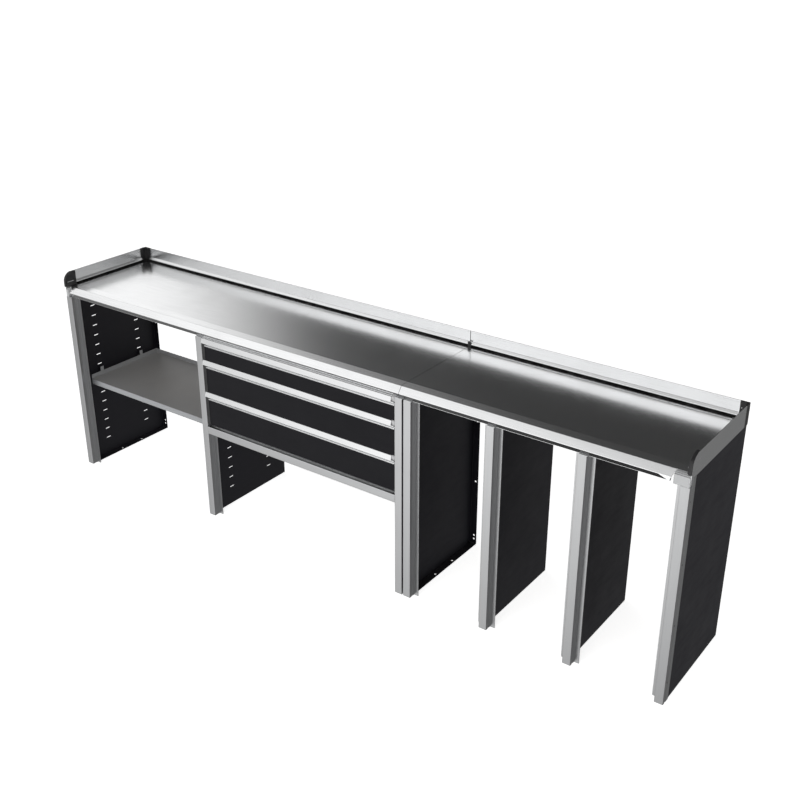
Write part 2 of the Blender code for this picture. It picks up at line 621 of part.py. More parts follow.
def build_bench():
    clear_scene()
    corner = empty("bench_front_left_foot", (-LENGTH / 2, -(DEPTH - GRIP_PROJECTION) / 2, 0))
    for name, left in POST_LEFTS.items():
        post(name, left, name not in LEFT_OUTER_POSTS, name not in RIGHT_OUTER_POSTS, corner)
    outer_upright("upright_left_end", 0.0, 1, True, corner)
    divider_left = POST_LEFTS["post_shelf_drawer_divider"]
    centre_upright("upright_shelf_drawer_divider", divider_left, True, corner)
    outer_upright("upright_left_module_right", LEFT_MODULE_END, -1, True, corner)
    outer_upright("upright_right_module_left", POST_LEFTS["post_right_module_left"], 1, False, corner)
    centre_upright("upright_right_module_second", POST_LEFTS["post_right_module_second"], False, corner)
    centre_upright("upright_right_module_third", POST_LEFTS["post_right_module_third"], False, corner)
    outer_upright("upright_right_end", LENGTH, -1, False, corner)
    build_worktops(corner)
    build_edging(corner)
    divider_face = divider_left + POST_WIDTH / 2 + CENTRE_PANEL_OFFSET
    sheet = PANEL_INSET + PANEL_THICKNESS
    build_shelf(sheet, divider_face, corner)
    bay_left = divider_left + POST_WIDTH
    bay_right = POST_LEFTS["post_left_module_right"]
    build_bay_bars(bay_left, bay_right, corner)
    build_drawers(bay_left, bay_right, divider_face + PANEL_THICKNESS, LEFT_MODULE_END - sheet, corner)


build_bench()
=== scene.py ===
import math

import bpy
from mathutils import Matrix, Vector


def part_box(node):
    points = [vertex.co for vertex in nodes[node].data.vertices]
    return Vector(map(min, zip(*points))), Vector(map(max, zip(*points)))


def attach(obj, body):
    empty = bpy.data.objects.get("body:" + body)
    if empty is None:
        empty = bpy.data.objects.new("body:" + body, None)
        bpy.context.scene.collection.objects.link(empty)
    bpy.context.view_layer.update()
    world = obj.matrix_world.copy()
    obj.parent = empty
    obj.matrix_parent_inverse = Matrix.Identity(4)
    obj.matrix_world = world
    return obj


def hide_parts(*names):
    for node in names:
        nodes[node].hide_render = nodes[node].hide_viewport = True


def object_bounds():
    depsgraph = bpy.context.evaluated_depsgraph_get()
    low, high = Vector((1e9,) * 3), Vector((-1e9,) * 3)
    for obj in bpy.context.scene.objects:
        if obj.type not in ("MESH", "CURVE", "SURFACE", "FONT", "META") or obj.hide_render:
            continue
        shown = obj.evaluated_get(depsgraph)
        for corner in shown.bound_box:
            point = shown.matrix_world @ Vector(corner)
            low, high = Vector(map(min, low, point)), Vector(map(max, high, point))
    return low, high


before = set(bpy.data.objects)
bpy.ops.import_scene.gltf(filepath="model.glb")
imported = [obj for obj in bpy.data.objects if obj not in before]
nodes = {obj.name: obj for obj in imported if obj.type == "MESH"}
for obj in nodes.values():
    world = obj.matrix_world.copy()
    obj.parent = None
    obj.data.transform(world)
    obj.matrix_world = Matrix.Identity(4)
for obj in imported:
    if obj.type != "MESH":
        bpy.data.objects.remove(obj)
cad_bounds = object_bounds()

# ---- Studio ----
# The bench stands alone on a seamless pale floor, in front of plain white. Only its reflections see
# the room: bright at the left and in front, dark behind and at the right, under a dark ceiling.
scene = bpy.context.scene
scene.view_settings.view_transform = "Standard"
scene.view_settings.look = "None"

camera_data = bpy.data.cameras.new("camera")
camera_data.lens = 50.0
camera_data.sensor_width = 36.0
camera = bpy.data.objects.new("camera", camera_data)
camera.location = (2.5858, -3.269, 2.6228)
camera.rotation_euler = (1.1318, 0.0, 0.6291)
scene.collection.objects.link(camera)
scene.camera = camera


def deselect():
    """Let go of everything, so that the next operator acts on its own piece alone."""
    bpy.ops.object.select_all(action="DESELECT")


def glowing_paint(piece, name, grey, glow):
    """Name a studio surface and give it a matt paint that glows a little by itself."""
    piece.name = name
    paint = bpy.data.materials.new(name + "_paint")
    paint.use_nodes = True
    inputs = paint.node_tree.nodes["Principled BSDF"].inputs
    inputs["Base Color"].default_value = (grey, grey, grey, 1.0)
    inputs["Roughness"].default_value = 0.9
    inputs["Specular IOR Level"].default_value = 0.0
    inputs["Emission Color"].default_value = (1.0, 1.0, 1.0, 1.0)
    inputs["Emission Strength"].default_value = glow
    piece.data.materials.append(paint)
    piece.visible_glossy = False


floor_size, floor_drop = 60.0, 0.0005
deselect()
bpy.ops.mesh.primitive_plane_add(size=floor_size, location=(0.0, 0.0, -floor_drop))
floor = bpy.context.object
glowing_paint(floor, "studio_floor", 0.9, 0.8)

dome_radius = 29.0
deselect()
bpy.ops.mesh.primitive_uv_sphere_add(segments=48, ring_count=24, radius=dome_radius)
backdrop_dome = bpy.context.object
glowing_paint(backdrop_dome, "studio_backdrop", 0.0, 1.0)
backdrop_dome.visible_diffuse = False
backdrop_dome.visible_transmission = False
backdrop_dome.visible_shadow = False

world = bpy.data.worlds.new("studio_walls")
scene.world = world
world.use_nodes = True
world.node_tree.nodes.clear()


class Wiring:
    """A node tree being wired: nodes are added by kind with their inputs given by name."""

    def __init__(self, tree):
        self.tree = tree

    def link(self, source, target):
        self.tree.links.new(source, target)

    def node(self, kind, settings=(), **inputs):
        made = self.tree.nodes.new("ShaderNode" + kind)
        for label, value in settings:
            setattr(made, label, value)
        for label, value in inputs.items():
            numbered = label[0] == "i" and label[1:].isdigit()
            socket = made.inputs[int(label[1:]) if numbered else label.replace("_", " ")]
            if isinstance(value, bpy.types.NodeSocket):
                self.link(value, socket)
            else:
                socket.default_value = value
        return made

    def sum(self, operation, first, second=0.5, third=0.5):
        settings = (("operation", operation),)
        return self.node("Math", settings, i0=first, i1=second, i2=third).outputs[0]

    def remap(self, value, low, high, start, end, change="LINEAR"):
        made = self.node("MapRange", (("interpolation_type", change),), Value=value, From_Min=low,
            From_Max=high, To_Min=start, To_Max=end)
        return made.outputs["Result"]

    def step(self, value, low, high, start, end):
        return self.remap(value, low, high, start, end, "SMOOTHSTEP")

    def blend(self, factor, first, second):
        made = self.node("Mix", (("data_type", "RGBA"),), i0=factor, i6=first, i7=second)
        return made.outputs[2]

    def place(self):
        return self.node("TexCoord").outputs["Object"]

    def stretched(self, place, scale):
        return self.node("Mapping", (), Vector=place, Scale=scale).outputs[0]

    def noise(self, place, scale, detail, roughness=0.5, distortion=0.0):
        made = self.node("TexNoise", (), Vector=place, Scale=scale, Detail=detail,
            Roughness=roughness, Distortion=distortion)
        return made.outputs[0]

    def around_zero(self, value, strength):
        return self.sum("MULTIPLY", self.sum("SUBTRACT", value, 0.5), strength)


sky = Wiring(world.node_tree)

# The turn is in degrees from the bench's right-hand side, to the front or to the rear alike, and
# wall_z runs from -1 straight down to 1 straight up.
toward = sky.node("TexCoord").outputs["Generated"]
wall_x, wall_y, wall_z = sky.node("SeparateXYZ", (), i0=toward).outputs
around = sky.sum("ARCTAN2", wall_y, wall_x)
turn = sky.sum("ABSOLUTE", sky.sum("MULTIPLY", around, 180.0 / math.pi))

# Behind the bench: dark, brightening towards the left, with a dim patch low at the far right.
rear_low = sky.step(turn, 129.5, 140.0, 0.03, 1.08)
rear_ramp = sky.sum("DIVIDE", sky.sum("SUBTRACT", turn, 112.0), 29.0)
rear_ramp = sky.sum("MINIMUM", sky.sum("MAXIMUM", rear_ramp, 0.0), 1.0)
rear_high = sky.sum("MULTIPLY_ADD", sky.sum("POWER", rear_ramp, 3.0), 0.94, 0.05)
rear_right = sky.step(turn, 60.0, 84.0, sky.step(wall_z, 0.32, 0.44, 0.64, 0.15), 0.0)
rear_wall = sky.sum("ADD", sky.step(wall_z, 0.42, 0.5, rear_low, rear_high), rear_right)
rear_half = sky.step(wall_z, -0.3, -0.05, 0.18, rear_wall)

# In front: bright in the middle, greyer towards both sides, with a bright band overhead.
front_right = sky.step(turn, 58.0, 78.0, 0.4, 0.6)
front_middle = sky.step(turn, 88.0, 104.0, front_right, 1.42)
front_side = sky.step(turn, 122.0, 144.0, front_middle, 0.42)
front_low = sky.sum("MULTIPLY", front_side, sky.step(wall_z, -0.7, -0.4, 0.28, 1.0))
overhead = sky.step(wall_z, 0.585, 0.715, 1.1, 0.12)
front_high = sky.step(wall_z, 0.34, 0.47, front_side, overhead)
front_half = sky.step(wall_z, -0.05, 0.1, front_low, front_high)

walls = sky.step(wall_y, -0.08, 0.08, front_half, rear_half)
ceiling = sky.step(wall_z, 0.66, 0.8, walls, 0.12)
room = sky.step(wall_z, -0.9, -0.76, 0.02, ceiling)
background = sky.node("Background", (), Color=room)
sky.node("OutputWorld", (), Surface=background.outputs[0])

lamp_data = bpy.data.lights.new("soft_key", "AREA")
lamp_data.shape = "RECTANGLE"
lamp_data.size = 3.5
lamp_data.size_y = 1.5
lamp_data.energy = 60.0
lamp = bpy.data.objects.new("soft_key", lamp_data)
lamp.location = (1.2, -4.2, 3.6)
lamp.rotation_euler = (math.radians(52.0), 0.0, math.radians(14.0))
lamp.visible_glossy = False
scene.collection.objects.link(lamp)

# ---- Posts ----
# Seven hollow aluminium extrusions, anodised satin silver. Each has a screw groove down both sides
# and thin fins behind its face that cover the upright's edge; the top steps back under the worktop.
bench_left = cad_bounds[0].x
bench_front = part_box("post_left_end")[0].y
floor_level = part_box("post_left_end")[0].z


def at(x, y, z):
    """A point given from the bench's front left foot: right, back and up."""
    return Vector((bench_left + x, bench_front + y, floor_level + z))


def only(piece):
    """Make one piece the selected and active one."""
    deselect()
    piece.select_set(True)
    bpy.context.view_layer.objects.active = piece


def into_edit():
    bpy.ops.object.mode_set(mode="EDIT")


def out_of_edit():
    bpy.ops.object.mode_set(mode="OBJECT")


def filleted(corners, closed=True, steps=3):
    """Corners given as (a, b, radius), each turned into a short arc of that radius."""
    points = []
    last = len(corners) - 1
    for index, (a, b, radius) in enumerate(corners):
        here = Vector((a, b))
        if radius == 0 or (not closed and index in (0, last)):
            points.append((a, b))
            continue
        back = (Vector(corners[index - 1][:2]) - here).normalized()
        ahead = (Vector(corners[(index + 1) % len(corners)][:2]) - here).normalized()
        half = back.angle(ahead) / 2
        centre = here + (back + ahead).normalized() * radius / math.sin(half)
        start = here + back * radius / math.tan(half) - centre
        end = here + ahead * radius / math.tan(half) - centre
        sweep = math.atan2(start.x * end.y - start.y * end.x, start.dot(end))
        for step in range(steps + 1):
            turn = Matrix.Rotation(sweep * step / steps, 2)
            points.append(tuple(centre + turn @ start))
    return points


def traced(name, outline, along, start, length):
    """Trace a profile with a single point, fill it, and push it along one axis."""
    order = {"X": (2, 0, 1), "Y": (0, 2, 1), "Z": (0, 1, 2)}[along]
    corners = []
    for a, b in outline:
        flat = (a, b, start)
        corners.append(Vector([flat[place] for place in order]))
    push = Vector([(0.0, 0.0, length)[place] for place in order])
    deselect()
    bpy.ops.mesh.primitive_plane_add(size=0.01)
    piece = bpy.context.object
    piece.name = name
    into_edit()
    bpy.ops.mesh.select_mode(type="VERT")
    bpy.ops.mesh.merge(type="CENTER")
    bpy.ops.transform.translate(value=corners[0])
    for here, there in zip(corners, corners[1:]):
        bpy.ops.mesh.extrude_vertices_move(TRANSFORM_OT_translate={"value": there - here})
    out_of_edit()
    for vertex in piece.data.vertices:
        vertex.select = vertex.index in (0, len(corners) - 1)
    into_edit()
    bpy.ops.mesh.edge_face_add()
    bpy.ops.mesh.select_all(action="SELECT")
    bpy.ops.mesh.edge_face_add()
    bpy.ops.mesh.extrude_region_move(TRANSFORM_OT_translate={"value": push})
    bpy.ops.mesh.select_all(action="SELECT")
    bpy.ops.mesh.normals_make_consistent(inside=False)
    out_of_edit()
    piece.data.transform(Matrix.Translation(at(0.0, 0.0, 0.0)))
    return piece


def box_between(name, low, high):
    """A block between two corners given from the bench's front left foot."""
    low = at(*low)
    high = at(*high)
    deselect()
    bpy.ops.mesh.primitive_cube_add(size=1.0, location=(low + high) / 2, scale=high - low)
    bpy.ops.object.transform_apply()
    piece = bpy.context.object
    piece.name = name
    return piece


def pin_at(name, centre, radius, depth, along, sides=20):
    """A short round pin centred on a point given from the bench's front left foot."""
    turns = {"X": (0.0, math.pi / 2, 0.0), "Y": (math.pi / 2, 0.0, 0.0), "Z": (0.0, 0.0, 0.0)}
    deselect()
    bpy.ops.mesh.primitive_cylinder_add(vertices=sides, radius=radius, depth=depth,
        location=at(*centre), rotation=turns[along])
    bpy.ops.object.transform_apply()
    piece = bpy.context.object
    piece.name = name
    return piece


def modified(piece, kind, **settings):
    """Add one modifier with its settings and apply it."""
    only(piece)
    change = piece.modifiers.new("change", kind)
    for label, value in settings.items():
        setattr(change, label, value)
    bpy.ops.object.modifier_apply(modifier="change")
    return piece


def cut_away(piece, tool, operation="DIFFERENCE"):
    """Cut one shape out of another and drop the tool."""
    modified(piece, "BOOLEAN", operation=operation, solver="EXACT", object=tool)
    bpy.data.objects.remove(tool, do_unlink=True)
    return piece


def merge_in(piece, other):
    """Weld one shape into another and drop the second."""
    return cut_away(piece, other, "UNION")


def eased(piece, radius, steps=2, angle=30.0):
    """Round every edge sharper than the angle by a small radius."""
    return modified(piece, "BEVEL", width=radius, segments=steps, limit_method="ANGLE",
        angle_limit=math.radians(angle))


def smoothed(piece, angle=40.0):
    """Shade rounded edges smoothly and keep flat faces flat."""
    only(piece)
    bpy.ops.object.shade_smooth_by_angle(angle=math.radians(angle))
    return modified(piece, "WEIGHTED_NORMAL", keep_sharp=True)


def joined(name, pieces):
    """Make several shapes one piece."""
    deselect()
    for piece in pieces:
        piece.select_set(True)
    bpy.context.view_layer.objects.active = pieces[0]
    bpy.ops.object.join()
    pieces[0].name = name
    return pieces[0]


def copy_along(piece, name, step):
    """A second piece with its own mesh, moved by a step."""
    twin = piece.copy()
    twin.data = piece.data.copy()
    twin.name = name
    scene.collection.objects.link(twin)
    twin.data.transform(Matrix.Translation(Vector(step)))
    return twin


def fitted(piece, material, slot, body, *stands_for):
    """Give a piece its finish and hang it on the body it moves with."""
    piece.data.materials.clear()
    piece.data.materials.append(material)
    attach(piece, body)
    if stands_for:
        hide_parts(*stands_for)
    return piece


def new_group(name, inputs, outputs):
    """An empty effect group with named inputs and outputs."""
    group = bpy.data.node_groups.new(name, "ShaderNodeTree")
    add_socket = group.interface.new_socket
    for label, kind, value in inputs:
        socket = add_socket(name=label, in_out="INPUT", socket_type="NodeSocket" + kind)
        socket.default_value = value
    for label, kind in outputs:
        add_socket(name=label, in_out="OUTPUT", socket_type="NodeSocket" + kind)
    given = group.nodes.new("NodeGroupInput").outputs
    return group, given, group.nodes.new("NodeGroupOutput").inputs, Wiring(group)


surface_outputs = (("Colour", "Color"), ("Roughness", "Float"), ("Height", "Float"))


def drawn_metal_group():
    """Fine lines left by drawing or brushing, with broad patches of handling on top."""
    group, given, out, wires = new_group("drawn_metal", (("Colour", "Color", (0.6, 0.6, 0.6, 1.0)),
        ("Line Scale", "Vector", (900.0, 900.0, 6.0)), ("Roughness", "Float", 0.3),
        ("Line Depth", "Float", 0.12), ("Patches", "Float", 0.06)), surface_outputs)
    place = wires.place()
    lines = wires.noise(wires.stretched(place, given["Line Scale"]), 1.0, 3.0, 0.65)
    handled = wires.noise(place, 5.0, 4.0, 0.6)
    specks = wires.noise(place, 420.0, 2.0)
    line_part = wires.around_zero(lines, given["Line Depth"])
    patch_part = wires.around_zero(handled, given["Patches"])
    rough = wires.sum("ADD", given["Roughness"], wires.sum("ADD", line_part, patch_part))
    wires.link(wires.sum("ADD", rough, wires.around_zero(specks, 0.03)), out["Roughness"])
    line_mask = wires.remap(lines, 0.3, 0.7, 0.0, 0.14)
    darker = wires.blend(line_mask, given["Colour"], (0.3, 0.31, 0.33, 1.0))
    hand_mask = wires.remap(handled, 0.5, 0.75, 0.0, 0.08)
    wires.link(wires.blend(hand_mask, darker, (0.42, 0.42, 0.41, 1.0)), out["Colour"])
    wires.link(lines, out["Height"])
    return group


def edge_wear_highlight_group():
    """Where an outer edge is: used for edges on paint, anodising and plastic made lighter by slight
    wear and a painted highlight.
    """
    group, given, out, wires = new_group("edge_wear_highlight_mask", (("Radius", "Float", 0.0012),
        ("Strength", "Float", 1.0)), (("Mask", "Float"),))
    wear_highlight_edge = wires.node("Bevel", (("samples", 4),), Radius=given["Radius"]).outputs[0]
    flat = wires.node("NewGeometry").outputs["Normal"]
    match = wires.node("VectorMath", (("operation", "DOT_PRODUCT"),), i0=wear_highlight_edge, i1=flat)
    broken = wires.noise(wires.place(), 160.0, 4.0, 0.7)
    # Edges found here take a lighter colour: slight wear and a painted highlight.
    edge = wires.remap(match.outputs["Value"], 0.998, 0.9, 0.0, 1.0)
    patchy = wires.sum("MULTIPLY", edge, wires.remap(broken, 0.42, 0.62, 0.0, 1.0))
    wires.link(wires.sum("MULTIPLY", patchy, given["Strength"]), out["Mask"])
    return group


drawn_metal = drawn_metal_group()
edge_wear_highlight_mask = edge_wear_highlight_group()


def start_material(name):
    """A new material and its shader, ready for wiring."""
    material = bpy.data.materials.new(name)
    material.use_nodes = True
    shader = material.node_tree.nodes["Principled BSDF"].inputs
    return material, Wiring(material.node_tree), shader


def surface_material(name, group, wear_highlight_edge, edge_radius, wear_highlight_strength, bump, bump_depth, **values):
    """A material with one effect's colour, roughness and height, and its edges lightened by slight
    rubbing and a painted highlight.
    """
    material, wires, shader = start_material(name)
    made = wires.node("Group", (("node_tree", group),), **values).outputs
    edges = wires.node("Group", (("node_tree", edge_wear_highlight_mask),), Radius=edge_radius,
        Strength=wear_highlight_strength).outputs["Mask"]
    # The lighter colour along edges is slight wear plus a painted highlight.
    wires.link(wires.blend(edges, made["Colour"], wear_highlight_edge), shader["Base Color"])
    wires.link(made["Roughness"], shader["Roughness"])
    raised = wires.node("Bump", (), Strength=bump, Distance=bump_depth, Height=made["Height"])
    wires.link(raised.outputs[0], shader["Normal"])
    return material, shader


def metal_finish(name, colour, roughness, line_scale, depth=0.1, patches=0.06, bump=0.00002,
        wear_highlight_strength=0.35):
    """Bare or anodised metal with drawing lines one way, and slightly brighter edges from slight
    rubbing and a painted highlight.
    """
    material, shader = surface_material(name, drawn_metal, (0.82, 0.82, 0.82, 1.0), 0.001, wear_highlight_strength,
        0.6, bump, Colour=(*colour, 1.0), Line_Scale=line_scale, Roughness=roughness,
        Line_Depth=depth, Patches=patches)
    shader["Metallic"].default_value = 1.0
    return material


def refinish(material, *names):
    """Give parts whose shape stays as it is a better finish."""
    for name in names:
        nodes[name].data.materials.clear()
        nodes[name].data.materials.append(material)


lines_up = (900.0, 900.0, 5.0)
lines_across = (5.0, 900.0, 900.0)
lines_back = (900.0, 5.0, 900.0)

bench_length = 3.048
beyond = 0.01
post_width, post_depth = 0.034, 0.044
groove_front, groove_back, groove_depth = 0.013, 0.021, 0.0016
fin_front, fin_back, fin_reach = 0.03, 0.033, 0.02
notch_depth, notch_height = 0.0138, 0.8705
bore_side, bore_front, bore_corner, bore_top = 0.0055, 0.0025, 0.002, 0.862
post_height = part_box("post_left_end")[1].z - floor_level
face_radius, small_radius = 0.0014, 0.0004
post_finish = metal_finish("satin_anodised_post", (0.6, 0.605, 0.61), 0.3, lines_up)


def post_outline(left, left_fin, right_fin):
    """The post's cross-section seen from above, with its grooves and the fins asked for."""
    groove = [(groove_front, 0.0), (groove_front, groove_depth), (groove_back, groove_depth),
        (groove_back, 0.0)]
    fin = [(fin_front, 0.0), (fin_front, -fin_reach), (fin_back, -fin_reach), (fin_back, 0.0)]
    right_side = groove + (fin if right_fin else [])
    left_side = groove + (fin if left_fin else [])
    right = left + post_width
    corners = [(left, 0.0, face_radius), (right, 0.0, face_radius)]
    corners += [(right - inset, depth, small_radius) for depth, inset in right_side]
    corners += [(right, post_depth, small_radius), (left, post_depth, small_radius)]
    corners += [(left + inset, depth, small_radius) for depth, inset in reversed(left_side)]
    return filleted(corners)


def post_piece(name, left_fin, right_fin):
    """One post, hollow, with its front stepped back where the worktop's nose folds over it."""
    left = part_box(name)[0].x - bench_left + (fin_reach if left_fin else 0.0)
    right = left + post_width
    outline = post_outline(left, left_fin, right_fin)
    piece = traced(name + "_extrusion", outline, "Z", 0.0, post_height)
    bore = box_between("bore", (left + bore_side, bore_front, -beyond),
        (right - bore_side, post_depth - bore_front, bore_top))
    cut_away(piece, eased(bore, bore_corner))
    notch = box_between("notch", (left - fin_reach - beyond, -beyond, notch_height),
        (right + fin_reach + beyond, notch_depth, post_height + beyond))
    return smoothed(cut_away(piece, notch))


post_kinds = {
    (False, True): ("post_left_end", "post_right_module_left"),
    (True, True): ("post_shelf_drawer_divider", "post_right_module_second", "post_right_module_third"),
    (True, False): ("post_left_module_right", "post_right_end"),
}
for (left_fin, right_fin), names in post_kinds.items():
    first = post_piece(names[0], left_fin, right_fin)
    for name in names[1:]:
        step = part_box(name)[0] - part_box(names[0])[0]
        fitted(copy_along(first, name + "_extrusion", step), post_finish, "post_aluminium", "bench",
            name)
    fitted(first, post_finish, "post_aluminium", "bench", names[0])


def socket_screw(name, centre, along, radius, height, outward=1.0):
    """A small round screw head with an eased rim and a six-sided socket."""
    piece = eased(pin_at(name, centre, radius, height, along, 24), radius * 0.18)
    socket_centre = list(centre)
    socket_centre["XYZ".index(along)] += outward * height / 2
    return cut_away(piece, pin_at("socket", socket_centre, radius * 0.5, height, along, 6))


side_screw_heights = (0.088, 0.329, 0.574, 0.814)
side_screw_x, side_screw_y = bench_length - 0.0015, post_width / 2
side_screw_radius, side_screw_rise = 0.0034, 0.0028
post_screws = [socket_screw("screw", (side_screw_x, side_screw_y, height), "X", side_screw_radius,
    side_screw_rise) for height in side_screw_heights]
screw_finish = metal_finish("zinc_screw", (0.45, 0.45, 0.46), 0.28, (400.0, 400.0, 400.0), wear_highlight_strength=0.5)
fitted(smoothed(joined("post_side_screws", post_screws)), screw_finish, "runner_zinc", "bench")

# ---- Uprights ----
# Seven sheets of 2 mm steel, powder coated black, screwed behind the posts. The four outer ones are
# folded inwards at the wall and the floor; three carry two columns of slots for hook-in shelves.
panel_front, panel_back = 0.045, 0.497
panel_sheet, bend_radius, foot_gap = 0.002, 0.0035, 0.004
panel_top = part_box("upright_left_end")[1].z - floor_level
slot_columns = (0.137, 0.387)
slot_length, slot_height, slot_pitch = 0.025, 0.0042, 0.05
slot_base, slot_count, slot_corner = 0.086, 15, 0.0014
hole_radius, hole_inset = 0.0045, 0.0198
floor_holes = (0.2, 0.326)
wall_holes = (0.024, 0.042, 0.308, 0.592, 0.86)


def powder_coat_group():
    """Powder coat: a fine orange-peel skin with faint clouding and a little dust on top faces."""
    group, given, out, wires = new_group("powder_coat", (
        ("Colour", "Color", (0.012, 0.012, 0.014, 1.0)), ("Roughness", "Float", 0.42),
        ("Peel Scale", "Float", 750.0), ("Dust", "Float", 0.05)), surface_outputs)
    place = wires.place()
    peel = wires.noise(place, given["Peel Scale"], 2.0)
    cloud = wires.noise(place, 7.0, 5.0, 0.6)
    wiped = wires.noise(wires.stretched(place, (9.0, 9.0, 40.0)), 1.0, 6.0, 0.7)
    up = wires.node("SeparateXYZ", (), i0=wires.node("NewGeometry").outputs["Normal"]).outputs[2]
    settled = wires.sum("MULTIPLY", wires.remap(up, 0.6, 1.0, 0.0, 1.0),
        wires.remap(cloud, 0.35, 0.7, 0.3, 1.0))
    dusty = wires.blend(wires.sum("MULTIPLY", settled, given["Dust"]), given["Colour"],
        (0.35, 0.34, 0.32, 1.0))
    speck = wires.node("TexVoronoi", (), Vector=place, Scale=1400.0).outputs["Distance"]
    flecks = wires.remap(speck, 0.0, 0.12, 0.05, 0.0)
    wires.link(wires.blend(flecks, dusty, (0.2, 0.2, 0.2, 1.0)), out["Colour"])
    rough = wires.sum("ADD", given["Roughness"], wires.remap(cloud, 0.3, 0.7, -0.05, 0.05))
    rough = wires.sum("ADD", rough, wires.remap(wiped, 0.45, 0.7, 0.0, 0.06))
    dust_part = wires.sum("MULTIPLY", settled, 0.08)
    wires.link(wires.sum("ADD", rough, dust_part), out["Roughness"])
    wires.link(peel, out["Height"])
    return group


powder_coat = powder_coat_group()


def paint_finish(name, colour, roughness, peel_scale=750.0, dust=0.04, wear_highlight_strength=0.12,
        wear_highlight_edge=(0.16, 0.16, 0.165, 1.0), gloss=0.5):
    """Powder coat on metal, lighter along the edges from slight rubbing and a painted highlight."""
    material, shader = surface_material(name, powder_coat, wear_highlight_edge, 0.0012, wear_highlight_strength, 0.7, 0.00003,
        Colour=(*colour, 1.0), Roughness=roughness, Peel_Scale=peel_scale, Dust=dust)
    shader["Specular IOR Level"].default_value = gloss
    return material


def folded(path, thickness, steps=3):
    """The closed outline of a folded sheet, from its outer face given as (a, b, bend radius)."""
    outer = filleted(path, closed=False, steps=steps)
    inner = []
    for index, point in enumerate(outer):
        here = Vector(point)
        legs = []
        if index > 0:
            legs.append((here - Vector(outer[index - 1])).normalized())
        if index < len(outer) - 1:
            legs.append((Vector(outer[index + 1]) - here).normalized())
        normals = [Vector((-leg.y, leg.x)) for leg in legs]
        middle = sum(normals, Vector((0.0, 0.0))).normalized()
        inner.append(tuple(here + middle * thickness / middle.dot(normals[0])))
    return outer + list(reversed(inner))


def punched(piece, sheet_x):
    """Punch the two columns of hook slots through a sheet."""
    first, second = slot_columns
    tool = box_between("slot", (sheet_x - beyond, first - slot_length / 2,
        slot_base - slot_height / 2), (sheet_x + beyond, first + slot_length / 2,
        slot_base + slot_height / 2))
    eased(tool, slot_corner)
    up, across = (0.0, 0.0, slot_pitch), (0.0, second - first, 0.0)
    for offset, count in ((up, slot_count), (across, 2)):
        modified(tool, "ARRAY", use_relative_offset=False, use_constant_offset=True,
            constant_offset_displace=offset, count=count)
    return cut_away(piece, tool)


def flanged_upright(name, inward, slotted):
    """A sheet folded inwards along the wall, with a second flange along the floor."""
    low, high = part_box(name)
    web = (low.x if inward > 0 else high.x) - bench_left
    rim = (high.x if inward > 0 else low.x) - bench_left
    mid_sheet = web + inward * panel_sheet / 2
    path = [(web, panel_front, 0), (web, panel_back, bend_radius), (rim, panel_back, 0)]
    outline = folded(path, -inward * panel_sheet)
    piece = traced(name + "_sheet", outline, "Z", 0.0, panel_top)
    near, far = sorted((mid_sheet, rim))
    foot = box_between("foot", (near, panel_front + 0.0005, 0.0),
        (far, panel_back - foot_gap, panel_sheet))
    merge_in(piece, eased(foot, 0.0004))
    hole_x = web + inward * hole_inset
    for depth in floor_holes:
        hole = (hole_x, depth, panel_sheet / 2)
        cut_away(piece, pin_at("hole", hole, hole_radius, 0.02, "Z"))
    for height in wall_holes:
        hole = (hole_x, panel_back - panel_sheet / 2, height)
        cut_away(piece, pin_at("hole", hole, hole_radius, 0.02, "Y"))
    if slotted:
        punched(piece, mid_sheet)
    return smoothed(piece)


panel_finish = paint_finish("black_powder_coat", (0.0066, 0.0062, 0.0096), 0.47, gloss=0.36)
for name, inward, slotted in (("upright_left_end", 1, True),
        ("upright_left_module_right", -1, True), ("upright_right_module_left", 1, False),
        ("upright_right_end", -1, False)):
    piece = flanged_upright(name, inward, slotted)
    fitted(piece, panel_finish, "upright_black", "bench", name)

for name, slotted in (("upright_shelf_drawer_divider", True),
        ("upright_right_module_second", False), ("upright_right_module_third", False)):
    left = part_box(name)[0].x - bench_left
    sheet = eased(box_between(name + "_sheet", (left, panel_front, 0.0),
        (left + panel_sheet, panel_back, panel_top)), 0.0005)
    if slotted:
        punched(sheet, left + panel_sheet / 2)
    fitted(smoothed(sheet), panel_finish, "upright_black", "bench", name)

# ---- Shelf ----
# A pressed steel tray in grey powder coat. Its rims stand up at the back and both sides, its front
# edge turns down, and four lugs hook it into the slots of the uprights.
shelf_finish = paint_finish("grey_powder_coat", (0.325, 0.333, 0.345), 0.5, 650.0, wear_highlight_strength=0.3,
    wear_highlight_edge=(0.4, 0.4, 0.4, 1.0))
shelf_sheet, shelf_radius = 0.0015, 0.0006
shelf_left, shelf_right = 0.018, 0.8375
shelf_front, shelf_back = 0.069, 0.488
shelf_floor, shelf_rim, shelf_drop = 0.432, 0.453, 0.406

under = shelf_floor - shelf_sheet
floor_low = at(shelf_left, shelf_front + shelf_sheet, under)
floor_high = at(shelf_right, shelf_back, under)
deselect()
bpy.ops.mesh.primitive_plane_add(size=1.0, location=(floor_low + floor_high) / 2)
tray = bpy.context.object
tray.name = "shelf_pressing"
tray.scale = (floor_high.x - floor_low.x, floor_high.y - floor_low.y, 1.0)
bpy.ops.object.transform_apply()


def pick(piece, kind, items, chosen):
    """Enter edit mode with only the chosen edges or faces selected."""
    only(piece)
    into_edit()
    bpy.ops.mesh.select_mode(type=kind)
    bpy.ops.mesh.select_all(action="DESELECT")
    out_of_edit()
    for item in items:
        item.select = chosen(item)
    into_edit()


def pull_edges(piece, chosen, move):
    """Extrude the edges whose middle passes the test."""
    points = piece.data.vertices
    pick(piece, "EDGE", piece.data.edges,
         lambda edge: chosen((points[edge.vertices[0]].co + points[edge.vertices[1]].co) / 2))
    bpy.ops.mesh.extrude_region_move(TRANSFORM_OT_translate={"value": move})
    out_of_edit()


